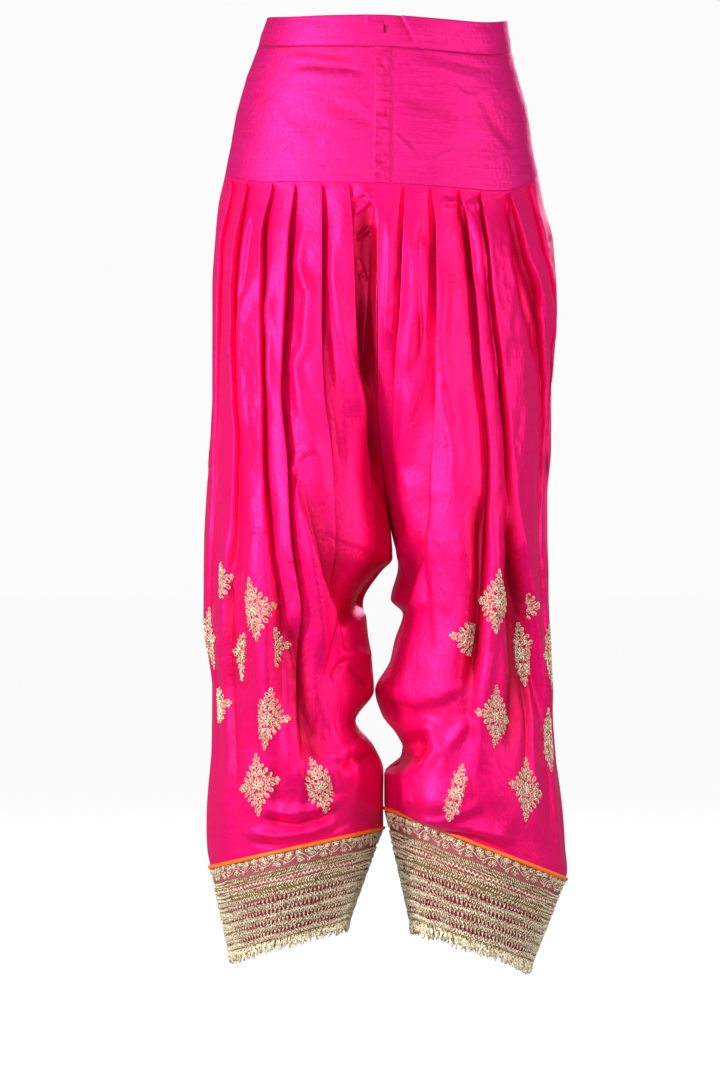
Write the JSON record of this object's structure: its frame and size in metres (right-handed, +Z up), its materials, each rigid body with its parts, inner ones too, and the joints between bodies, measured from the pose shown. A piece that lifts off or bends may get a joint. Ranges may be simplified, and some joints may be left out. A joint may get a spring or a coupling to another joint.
{
  "type": "pleated salwar with a hip yoke and gold border cuffs",
  "caption": "Loose pleated silk trousers worn open at waist and ankles: flat hip yoke, knife pleats, stiff woven border cuffs with piping and fringe.",
  "frame": {"origin": "middle of the waist opening, at the height of the drawstring channel", "axes": "+Z up out of the waist, +X to the wearer's left, -Y to the front"},
  "size_m": [0.3805, 0.3076, 1.0047],
  "materials": {
    "raw_silk": "matte slubbed raw silk",
    "silk_satin": "soft sheen silk satin",
    "piping_satin": "orange satin piping",
    "gold_border": "woven and embroidered gold thread",
    "gold_fringe": "looped gold thread"
  },
  "bodies": {
    "root": {"waistband": "raw_silk", "yoke_back": "raw_silk", "placket_strip": "raw_silk", "yoke_front_right": "raw_silk", "leg_front_right": "silk_satin", "leg_back_right": "silk_satin", "piping_right": "piping_satin", "cuff_right": "gold_border", "fringe_right": "gold_fringe", "yoke_front_left": "raw_silk", "leg_front_left": "silk_satin", "leg_back_left": "silk_satin", "piping_left": "piping_satin", "cuff_left": "gold_border", "fringe_left": "gold_fringe"}
  },
  "joints": []
}
